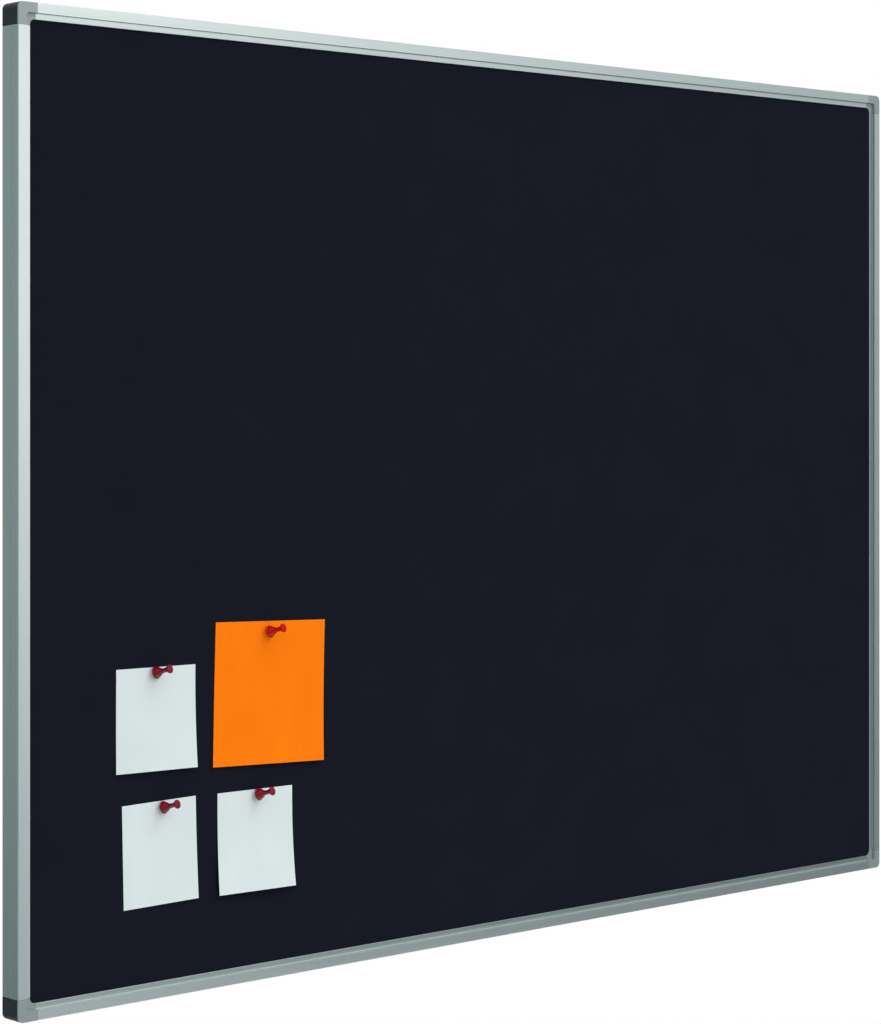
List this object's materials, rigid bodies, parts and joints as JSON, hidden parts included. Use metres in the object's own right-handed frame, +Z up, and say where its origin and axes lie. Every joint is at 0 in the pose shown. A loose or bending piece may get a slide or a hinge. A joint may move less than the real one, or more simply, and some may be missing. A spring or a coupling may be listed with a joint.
{
  "type": "pinboard",
  "caption": "Wide felt pinboard in a slim silver aluminium frame with plastic corners, holding note sheets under push pins.",
  "frame": {"origin": "centre of the board's back, on the wall plane", "axes": "+X along the width to the viewer's right, +Z up, +Y into the wall; the felt faces -Y"},
  "size_m": [1.2, 0.0407, 0.9],
  "materials": {
    "anodised_aluminium": "satin anodised, drawn along the rail",
    "light_grey_plastic": "satin moulded",
    "charcoal_plastic": "fine spark texture",
    "navy_felt": "pressed felt, very dark blue",
    "fibre_core": "soft fibre board",
    "galvanised_steel": "thin galvanised sheet",
    "zinc_screw": "zinc plated",
    "white_paper": "plain, uncoated",
    "orange_paper": "plain, uncoated",
    "red_plastic": "glossy moulded",
    "needle_steel": "polished"
  },
  "bodies": {
    "board": {"rail_bottom": "anodised_aluminium", "rail_left": "anodised_aluminium", "rail_top": "anodised_aluminium", "rail_right": "anodised_aluminium", "corner_base_bottom_left": "charcoal_plastic", "corner_base_top_left": "charcoal_plastic", "corner_base_top_right": "charcoal_plastic", "corner_base_bottom_right": "charcoal_plastic", "felt_surface": "navy_felt", "core_board": "fibre_core", "back_sheet": "galvanised_steel", "screw_bottom_a": "zinc_screw", "screw_bottom_b": "zinc_screw", "screw_left_a": "zinc_screw", "screw_left_b": "zinc_screw", "screw_top_a": "zinc_screw", "screw_top_b": "zinc_screw", "screw_right_a": "zinc_screw", "screw_right_b": "zinc_screw"},
    "cover_bottom_left": {"corner_cover_bottom_left": "light_grey_plastic"},
    "cover_top_left": {"corner_cover_top_left": "light_grey_plastic"},
    "cover_top_right": {"corner_cover_top_right": "light_grey_plastic"},
    "cover_bottom_right": {"corner_cover_bottom_right": "light_grey_plastic"},
    "pin_upper_left": {"pin_head_upper_left": "red_plastic", "pin_needle_upper_left": "needle_steel"},
    "pin_upper_right": {"pin_head_upper_right": "red_plastic", "pin_needle_upper_right": "needle_steel"},
    "pin_lower_left": {"pin_head_lower_left": "red_plastic", "pin_needle_lower_left": "needle_steel"},
    "pin_lower_right": {"pin_head_lower_right": "red_plastic", "pin_needle_lower_right": "needle_steel"},
    "sheet_upper_left": {"note_upper_left": "white_paper"},
    "sheet_upper_right": {"note_upper_right": "orange_paper"},
    "sheet_lower_left": {"note_lower_left": "white_paper"},
    "sheet_lower_right": {"note_lower_right": "white_paper"}
  },
  "joints": [
    {"name": "cover_bottom_left_lift", "type": "slide", "parent": "board", "child": "cover_bottom_left", "axis": [0, -1, 0], "range_m": [0, 0.03]},
    {"name": "cover_top_left_lift", "type": "slide", "parent": "board", "child": "cover_top_left", "axis": [0, -1, 0], "range_m": [0, 0.03]},
    {"name": "cover_top_right_lift", "type": "slide", "parent": "board", "child": "cover_top_right", "axis": [0, -1, 0], "range_m": [0, 0.03]},
    {"name": "cover_bottom_right_lift", "type": "slide", "parent": "board", "child": "cover_bottom_right", "axis": [0, -1, 0], "range_m": [0, 0.03]},
    {"name": "pin_upper_left_pull", "type": "slide", "parent": "board", "child": "pin_upper_left", "axis": [0.2662, -0.9285, 0.2588], "range_m": [0, 0.03]},
    {"name": "pin_upper_right_pull", "type": "slide", "parent": "board", "child": "pin_upper_right", "axis": [0.2662, -0.9285, 0.2588], "range_m": [0, 0.03]},
    {"name": "pin_lower_left_pull", "type": "slide", "parent": "board", "child": "pin_lower_left", "axis": [0.2662, -0.9285, 0.2588], "range_m": [0, 0.03]},
    {"name": "pin_lower_right_pull", "type": "slide", "parent": "board", "child": "pin_lower_right", "axis": [0.2662, -0.9285, 0.2588], "range_m": [0, 0.03]},
    {"name": "note_upper_left_swing", "type": "hinge", "parent": "pin_upper_left", "child": "sheet_upper_left", "pos_m": [-0.44925, -0.0202, -0.15228], "axis": [0, -1, 0], "range_deg": [-18, 5]},
    {"name": "note_upper_right_swing", "type": "hinge", "parent": "pin_upper_right", "child": "sheet_upper_right", "pos_m": [-0.31537, -0.0202, -0.12258], "axis": [0, -1, 0], "range_deg": [-4, 20]},
    {"name": "note_lower_left_swing", "type": "hinge", "parent": "pin_lower_left", "child": "sheet_lower_left", "pos_m": [-0.44069, -0.0202, -0.27662], "axis": [0, -1, 0], "range_deg": [-18, 5]},
    {"name": "note_lower_right_swing", "type": "hinge", "parent": "pin_lower_right", "child": "sheet_lower_right", "pos_m": [-0.32889, -0.0202, -0.27542], "axis": [0, -1, 0], "range_deg": [-6, 12]}
  ]
}
